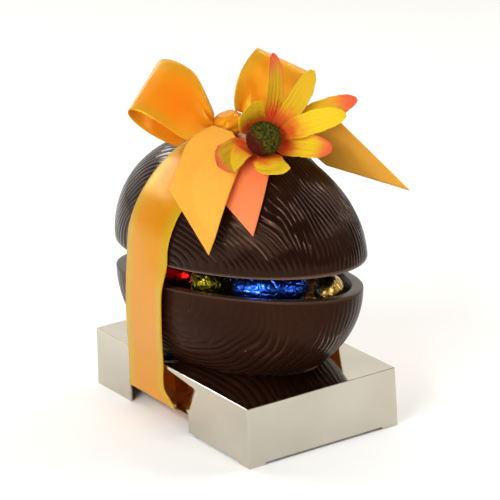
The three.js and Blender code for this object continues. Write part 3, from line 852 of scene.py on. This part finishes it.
stations = band_rows()
band = grid(20, BAND_STEPS)
lines = [[row[column] for row in stations] for column in range(len(COLUMNS))]
for v in band.verts:
    row = [closed_curve(line, v.co.y) for line in lines]
    v.co = across_row(row, v.co.x)
merge(band, 0.001)
face_outwards(band)
satin_band = ribbon_sheet("satin_band", band, shaded_satin, "ribbon_band")
band_middle = [closed_curve(lines[2], step / BAND_STEPS) for step in range(BAND_STEPS + 1)]
declared(satin_band, RIBBON["width"], line_length(band_middle))

# %% [markdown]
# The bow has its own frame at the knot: X across it, Y to its back, Z up. A loop leaves the knot on its
# front layer, turns over in a round fold and comes back on its back layer. It is gathered in pleats at
# the knot and opens from there. Where it would cut into the shell it is pushed out, as a soft ribbon is.

# %% The bow's frame
BOW_PLACE = Matrix.Translation((1, 0, 166)) @ turned_by(57.6, "Z")
UPPER_FROM_BOW = UPPER_PLACE.inverted() @ BOW_PLACE


def over_shell(point, clearance):
    """A point of the bow's frame, pushed out to a clearance over the upper shell if it lies nearer."""
    p = UPPER_FROM_BOW @ point
    grow = RIBBON["thickness"] + clearance
    full = 1 + EGG["fullness"] * p.x / EGG["half_length"]
    ball = Vector((
        p.x / (EGG["half_length"] + grow),
        p.y / ((EGG["half_width"] + grow) * full),
        p.z / ((EGG["depth"] + grow) * full),
    ))
    return UPPER_FROM_BOW.inverted() @ (p / min(1, ball.length))


# %% The bow's loops
# The column glow sets how strong the painted glow is in each loop.
LOOPS = table("root reach across_root across_fold swell gather fan lean pleats glow", {
    "bow_loop_left": (
        (-10.6, -0.3, 0.6), (-38.2, 7.3, 22), (0.05, 0.33, 0.94), (0.45, 0.74, 0.51),
        9, 13, 0.45, 0, 3, 1,
    ),
    "bow_loop_right": (
        (8.4, 4.2, 4.7), (22.6, 15.8, 25.1), (0.85, 0.1, -0.4), (0.85, 0.21, -0.51),
        5, 13, 0.9, -0.5, 2, 0.2,
    ),
})
LOOP_CLEARANCE = 2.0
PLEAT_DEPTH = 1.6


def loop_point(loop, turn, column):
    out = Vector(loop["reach"])
    length = out.length
    out.normalize()
    along = sin(turn / 2) ** 2
    side = mixed(Vector(loop["across_root"]), Vector(loop["across_fold"]), along).normalized()
    front = side.cross(out).normalized()
    if front.y > 0:
        front.negate()
    front.x += loop["lean"]
    front.normalize()
    rise = loop["swell"] * sin(turn) + 2 * cos(turn / 2)
    opening = sin(pi / 2 * min(1, along / loop["fan"])) ** 0.85
    width = mixed(loop["gather"], RIBBON["width"], opening)
    pleat = PLEAT_DEPTH * (1 - opening) * cos(2 * pi * loop["pleats"] * column)
    point = Vector(loop["root"]) + out * length * along + front * (rise + pleat) + side * column * width
    return over_shell(point, LOOP_CLEARANCE)


for name, loop in LOOPS.items():
    cloth = grid(24, 120)
    # Painted glow: deeper orange in the middle of each loop, where light shines through its two layers.
    doubled = cloth.verts.layers.float.new("doubled")
    for v in cloth.verts:
        from_middle = hypot((v.co.x - 0.45) / 0.4, (sin(v.co.y * pi) ** 2 - 0.5) / 0.45)
        v[doubled] = loop["glow"] * exp(-(from_middle ** 2))
        v.co = loop_point(loop, v.co.y * 2 * pi, v.co.x - 0.5)
    piece = ribbon_sheet(f"{name}_satin", cloth, golden_satin, name, BOW_PLACE)
    middle = [loop_point(loop, turn, 0) for turn in spread(121, 0, 2 * pi)]
    declared(piece, RIBBON["width"], line_length(middle))

# %% [markdown]
# A tail is a strip that fans out from the knot, lies over the shell and ends in a slanting cut. All
# three show the dull back of the satin, a plain close weave.

# %% The bow's tails
TAILS = table("path across cut width gather fan clearance", {
    "tail_front": (
        [(-6, -9.5, 1.4), (-10, -23, -6), (-20, -40.5, -25.5), (-31.5, -56, -49)],
        (0.87, -0.43, -0.225), 27, 35, 12, 22, 6.4,
    ),
    "tail_coral": (
        [(4, -9.4, -5.6), (2.5, -24, -12), (-1, -41, -21), (-9, -58, -43)],
        (0.97, -0.234, -0.055), 30, 35, 9, 24, 1.55,
    ),
    "tail_right": (
        [(9, 0, 1), (30, -5, -2), (59, -15.5, -9), (95, -29, -18)],
        (0.018, 0.414, -0.889), 43, 38, 10, 26, 3,
    ),
})


def tail_sheet(tail):
    curve = open_curve([Vector(point) for point in tail["path"]])
    length = curve[1][-1]
    side = Vector(tail["across"]).normalized()
    cloth = grid(24, 90)
    for v in cloth.verts:
        column, step = v.co.x - 0.5, v.co.y
        along = step * (length - tail["cut"] * (0.5 - column))
        opening = sin(pi / 2 * min(1, along / tail["fan"]))
        width = mixed(tail["gather"], tail["width"], opening)
        point = at_length(curve, along) + side * column * width
        v.co = over_shell(point, tail["clearance"])
    return cloth


def dull_satin(name, color):
    finish = Finish(name)
    across, along = finish.across_and_along()
    cloth = finish.bump((along * 700.0).sine() * (across * 420.0).sine(), 0.00004, 0.5)
    return finish.skin(
        Base_Color=finish.tint(finish.cloud(finish.place(), 400, 2), dimmed(color, 0.9), color),
        Roughness=0.6,
        Normal=cloth,
        Specular_IOR_Level=0.2,
    )


golden_back = dull_satin("golden_satin_back", screen(242, 172, 58))
coral_back = dull_satin("coral_satin_back", screen(255, 134, 78))

for name, tail in TAILS.items():
    back_side, slot = golden_back, "satin_ribbon"
    if name == "tail_coral":
        back_side, slot = coral_back, "coral_ribbon"
    piece = ribbon_sheet(f"{name}_satin", tail_sheet(tail), back_side, name, BOW_PLACE)
    length = open_curve([Vector(point) for point in tail["path"]])[1][-1]
    area = tail["width"] * (length - tail["cut"] / 2)
    declared(piece, tail["width"], length, area)

# %% [markdown]
# The knot is a short wrap of ribbon drawn tight over the gathers, so it has three soft folds that run
# aslant. It is a grid rolled into a ball: its two short sides close on the poles, inside the loops.

# %% The knot
KNOT = {
    "middle": Vector((-2.4, -0.4, 1.5)), "radii": Vector((9.6, 8.2, 7.6)), "lean": radians(33),
    "sway": 0.14, "groove": 0.14,
}
# Where each fold's crest lies across the knot, and how wide it is.
KNOT_FOLDS = [(-0.62, 0.34), (0.02, 0.3), (0.6, 0.28)]

knot = grid(96, 128)
for v in knot.verts:
    polar, around = v.co.x * pi, v.co.y * 2 * pi
    ball = Vector((-cos(polar), sin(polar) * cos(around), sin(polar) * sin(around)))
    aslant = ball.z * cos(KNOT["lean"]) - ball.x * sin(KNOT["lean"])
    across = aslant + KNOT["sway"] * noise.noise(ball * 1.7)
    crest = max(exp(-(((across - middle) / width) ** 2)) for middle, width in KNOT_FOLDS)
    folded = ball * (1 - KNOT["groove"] * (1 - crest))
    v.co = Vector(part * radius for part, radius in zip(folded, KNOT["radii"])) + KNOT["middle"]
merge(knot, 0.01)
face_outwards(knot)
finished("folded_knot", knot, golden_satin, "bow_knot", place=BOW_PLACE)

# %% [markdown]
# The flower is made of printed cloth: yellow petals that blush orange-red where they meet and coral at
# some tips. A petal is cut from cloth that was pressed with lengthwise veins. Its edges are pinked by the
# cutting die, so they are a little ragged near the tip.

# %% Petal cloth


def printed_petal_cloth():
    finish = Finish("printed_petal_cloth")
    across, along = finish.across_and_along()
    blots = finish.cloud(finish.place(), 160, 3) * 0.5 - 0.25
    at_tip = finish.step(finish.painted("tip_blush") + blots, 0.1, 1.0)
    at_root = finish.step(finish.painted("root_blush") + blots, 0.18, 0.74)
    # The share shade paints a petal olive instead of yellow: painted shade for petals that face away from
    # the light.
    yellow = finish.tint(finish.painted("shade"), screen(238, 202, 32), screen(214, 166, 22))
    with_tip = finish.tint(at_tip, yellow, screen(238, 100, 62))
    veins = finish.bump((across * 90.0).sine(), 0.00012, 0.6)
    return finish.skin(
        Base_Color=finish.tint(at_root, with_tip, screen(236, 86, 26)),
        Roughness=0.62,
        Normal=finish.bump((along * 520.0).sine(), 0.00003, 0.4, veins),
        Specular_IOR_Level=0.25,
    )


petal_cloth = printed_petal_cloth()

# %% [markdown]
# The petals are held between the ball and a small disc, in two rough layers. Each is a grid bent along a
# curve of three points: its start at the disc, a bend and its tip. It is cupped across, has veins
# pressed in lengthwise, and is pushed out wherever it would cut into the shell.

# %% The petals
FLOWER = {"ball": Vector((16, -31, 1.2)), "axis": Vector((0.15, -0.85, 0.5)).normalized()}
BALL_RADIUS = 9.8
DISC = {"radius": 3.5, "depth": 1.8}
DISC_MIDDLE = FLOWER["ball"] - FLOWER["axis"] * (BALL_RADIUS + GAP + DISC["depth"] / 2)
PETAL = {
    "thickness": 0.3, "base": 2.8, "closes_from": 0.55, "cup": 0.16, "reach": 0.38, "bow": 0.1,
    "layer_step": 2.2, "layer_bow": 1.5, "ragged": 0.07, "ragged_tip": 0.9, "vein": 0.16,
}
BLUSH = {"root_ends": 0.72, "tip_from": 0.68, "tip_over": 0.26, "side_from": 0.4, "side_over": 0.35}
# The column shade is how much painted shade darkens each petal.
PETALS = table("tip width blunt neck sway roll layer clearance blush blush_side shade", {
    "top": ((6.6, 2, 46.8), 10, 1.6, 0.5, -0.2, 35, 0.2, 8.2, 0.8, -1, 0.9),
    "top_right": ((28, 4, 36), 11.5, 3.2, 0.5, -0.13, 0, 1, 8.2, 0.0, 0, 0.8),
    "right_back": ((51.2, 2, 19.4), 13, 3.4, 0.5, 0.1, 0, -0.25, 8.2, 1.0, 0, 0.6),
    "right": ((44.7, -8, 13.9), 13, 4.6, 0.5, 0.1, 0, 1.2, 8.2, 0.0, 0, 0.1),
    "lower_right": ((36, -15, -4), 13.5, 2, 0.35, 0.15, 0, 0, 3, 0.9, 1, 0.1),
    "bottom": ((9, -28, -11.5), 16.5, 2, 0.35, -0.05, 0, 1, 5, 0.0, 0, 0.0),
    "lower_left": ((-25.2, -18, -8.9), 18, 2, 0.35, -0.1, 0, 0, 8.2, 0.9, -1, 0.5),
    "upper_left": ((-5, -12, 24), 16.5, 4, 0.35, 0, 0, 1, 2, 0.0, 0, 0.4),
})


def petal_half_width(petal, step):
    """Half a petal's width at a step from 0 at its base to 1 at its blunt tip."""
    opening = sin(pi / 2 * min(1, step / petal["neck"])) ** 1.3
    past_widest = max(0.0, (step - PETAL["closes_from"]) / (1 - PETAL["closes_from"]))
    full = max(PETAL["base"], petal["width"] * opening) * sqrt(max(0.0, 1 - past_widest ** 3))
    return max(petal["blunt"] * (1 - 0.5 * past_widest ** 6), full) / 2


def petal_curve(petal):
    """The start, bend and end of the curve along a petal's middle, and the direction across it."""
    axis = FLOWER["axis"]
    tip = Vector(petal["tip"])
    radial = (tip - axis * tip.dot(axis)).normalized()
    out_of_layer = PETAL["layer_step"] * (petal["layer"] - 0.5)
    start = DISC_MIDDLE + radial * (DISC["radius"] + 2 * GAP) + axis * out_of_layer
    end = FLOWER["ball"] + tip
    length = (end - start).length
    across = axis.cross(radial)
    bend = start + radial * PETAL["reach"] * length + across * petal["sway"] * length
    bend += axis * (PETAL["bow"] * length + PETAL["layer_bow"] * out_of_layer)
    return start, bend, end, across


def bent(start, bend, end, step):
    return start * (1 - step) ** 2 + bend * 2 * step * (1 - step) + end * step * step


def petal_sheet(petal, seed):
    start, bend, end, across = petal_curve(petal)
    cloth = grid(32, 84)
    layers = cloth.verts.layers.float
    root_layer, tip_layer, shade_layer = (layers.new(name) for name in ("root_blush", "tip_blush", "shade"))
    for v in cloth.verts:
        column, step = 2 * v.co.x - 1, v.co.y
        v[root_layer] = max(0.0, 1 - step / BLUSH["root_ends"]) + 0.15 * (1 - abs(column)) * (1 - step)
        to_side = max(0.0, column * petal["blush_side"]) ** 2
        on_side = to_side * (step - BLUSH["side_from"]) / BLUSH["side_over"]
        v[tip_layer] = petal["blush"] * max(0.0, (step - BLUSH["tip_from"]) / BLUSH["tip_over"], on_side)
        v[shade_layer] = petal["shade"]
        middle = bent(start, bend, end, step)
        along = ((bend - start) * (1 - step) + (end - bend) * step).normalized()
        side = (across - along * across.dot(along)).normalized()
        side.rotate(Matrix.Rotation(radians(petal["roll"]) * step, 3, along))
        lift = along.cross(side)
        half = petal_half_width(petal, step)
        pinked = noise.noise(Vector((step * 30, seed * 5, column * 0.6))) * min(1, 2 * step)
        point = middle + side * column * half * (1 + PETAL["ragged"] * pinked)
        point += along * PETAL["ragged_tip"] * noise.noise(Vector((column * 4, seed * 3, 0))) * step ** 8
        vein = PETAL["vein"] * cos(4.5 * pi * column) * sin(pi * step)
        point += lift * (PETAL["cup"] * half * column * column + vein)
        v.co = over_shell(point, petal["clearance"] * min(1, 0.3 + 2 * step))
    return cloth


for seed, (name, petal) in enumerate(PETALS.items()):
    piece = ribbon_sheet(f"{name}_petal", petal_sheet(petal, seed), petal_cloth,
                         f"petal_{name}", BOW_PLACE, PETAL["thickness"])
    start, bend, end, _ = petal_curve(petal)
    steps = spread(41, 0, 1)
    length = line_length([bent(start, bend, end, step) for step in steps])
    mean_width = sum(2 * petal_half_width(petal, step) for step in steps) / len(steps)
    declared(piece, petal["width"], length, mean_width * length)

# %% [markdown]
# The flower's middle is a ball of flock: short dark green fibres, reddish brown on one side. A ball with
# a rough skin carries a fur of short bristles, so that its outline is soft too.

# %% The flower's middle
BALL = {"skin": 0.55, "lumps": 0.35, "fine_lumps": 0.2}
BRISTLE = {"count": 1700, "length": 1.3, "foot": 0.16, "point": 0.05, "sunk": 0.6, "lean": 0.25}
BROWN_WAY = Vector((-0.8, -0.35, -0.45)).normalized()


def green_and_brown_flock():
    finish = Finish("green_flock")
    place = finish.place()
    specks = finish.step(finish.cloud(place, 700, 3), 0.35, 0.65)
    greens = finish.tint(specks, screen(34, 38, 6), screen(92, 90, 22))
    on_brown_side = finish.step(finish.painted("brown_side"), 0.15, 0.75)
    return finish.skin(
        Base_Color=finish.tint(on_brown_side, greens, screen(78, 20, 12)),
        Roughness=0.95,
        Normal=finish.bump(finish.cloud(place, 1600, 2), 0.0005, 0.9),
        Specular_IOR_Level=0.15,
    )


def upright_along(direction):
    """A turn that carries Z to a direction."""
    return direction.to_track_quat("Z", "Y").to_matrix().to_4x4()


def scattered(draw):
    return Vector((draw.gauss(0, 1), draw.gauss(0, 1), draw.gauss(0, 1)))


ball = bmesh.new()
bmesh.ops.create_icosphere(ball, subdivisions=6, radius=1)
for v in ball.verts:
    lumps = BALL["lumps"] * noise.noise(v.co * 26) + BALL["fine_lumps"] * noise.noise(v.co * 60)
    v.co = v.co * (BALL_RADIUS - BALL["skin"] + lumps)
draw = random.Random(5)
for number in range(BRISTLE["count"]):
    way = scattered(draw).normalized()
    lean = (way + scattered(draw) * BRISTLE["lean"]).normalized()
    bristle = Matrix.Translation(way * (BALL_RADIUS - BRISTLE["sunk"])) @ upright_along(lean)
    bmesh.ops.create_cone(
        ball, cap_ends=True, segments=3, radius1=BRISTLE["foot"], radius2=BRISTLE["point"],
        depth=BRISTLE["length"], matrix=bristle,
    )
brown_layer = ball.verts.layers.float.new("brown_side")
for v in ball.verts:
    v[brown_layer] = v.co.normalized().dot(BROWN_WAY) + 0.25 * noise.noise(v.co * 0.35)
bmesh.ops.translate(ball, vec=FLOWER["ball"], verts=ball.verts)
finished("flock_ball", ball, green_and_brown_flock(), "flower_ball", place=BOW_PLACE)

# %% [markdown]
# Behind the ball are the calyx that holds the petals and a wire stem, both in green paper tape. The calyx
# is a flat ball with eight low lobes. The stem is a grid rolled round a curve, and the step in its radius
# winds round it as the edge of the tape does.

# %% The calyx and the stem
STEM = {"radius": 1.0, "knot_end": Vector((6.2, -8.4, 2)), "tape_step": 0.12, "tape_turn": 3}
LOBES = {"count": 8, "height": 0.06}


def green_tape():
    finish = Finish("green_paper_tape")
    place = finish.place()
    return finish.skin(
        Base_Color=finish.tint(finish.cloud(place, 300, 3), screen(46, 66, 24), screen(92, 112, 48)),
        Roughness=0.75,
        Normal=finish.bump(finish.cloud(place, 900, 2), 0.0002, 0.5),
    )


paper_tape = green_tape()
calyx = bmesh.new()
bmesh.ops.create_uvsphere(calyx, u_segments=80, v_segments=32, radius=1)
for v in calyx.verts:
    lobe = cos(LOBES["count"] * atan2(v.co.y, v.co.x)) * hypot(v.co.x, v.co.y)
    radius = DISC["radius"] * (1 + LOBES["height"] * lobe)
    v.co = Vector((v.co.x * radius, v.co.y * radius, v.co.z * DISC["depth"] / 2))
turned = Matrix.Translation(DISC_MIDDLE) @ upright_along(FLOWER["axis"])
finished("calyx", calyx, paper_tape, "flower_disc", place=BOW_PLACE @ turned)

stem_start = DISC_MIDDLE - FLOWER["axis"] * (DISC["depth"] / 2 - 0.2)
stem_bends = [stem_start - FLOWER["axis"] * 4, STEM["knot_end"] + Vector((1, -4, 0))]
stem_curve = open_curve([stem_start] + stem_bends + [STEM["knot_end"]])
stem_length = stem_curve[1][-1]
stem = grid(20, 60)
for v in stem.verts:
    turn, along = v.co.x * 2 * pi, v.co.y * stem_length
    after = at_length(stem_curve, min(along + 0.3, stem_length))
    ahead = (after - at_length(stem_curve, max(along - 0.3, 0))).normalized()
    sideways = ahead.cross(Vector((0, 0, 1))).normalized()
    radius = STEM["radius"] * (1 + STEM["tape_step"] * ((along / STEM["tape_turn"] - v.co.x) % 1))
    outward = sideways * cos(turn) + ahead.cross(sideways) * sin(turn)
    v.co = at_length(stem_curve, along) + outward * radius
merge(stem, 0.001)
bmesh.ops.holes_fill(stem, edges=stem.edges, sides=0)
face_outwards(stem)
finished("taped_stem", stem, paper_tape, "flower_stem", place=BOW_PLACE)
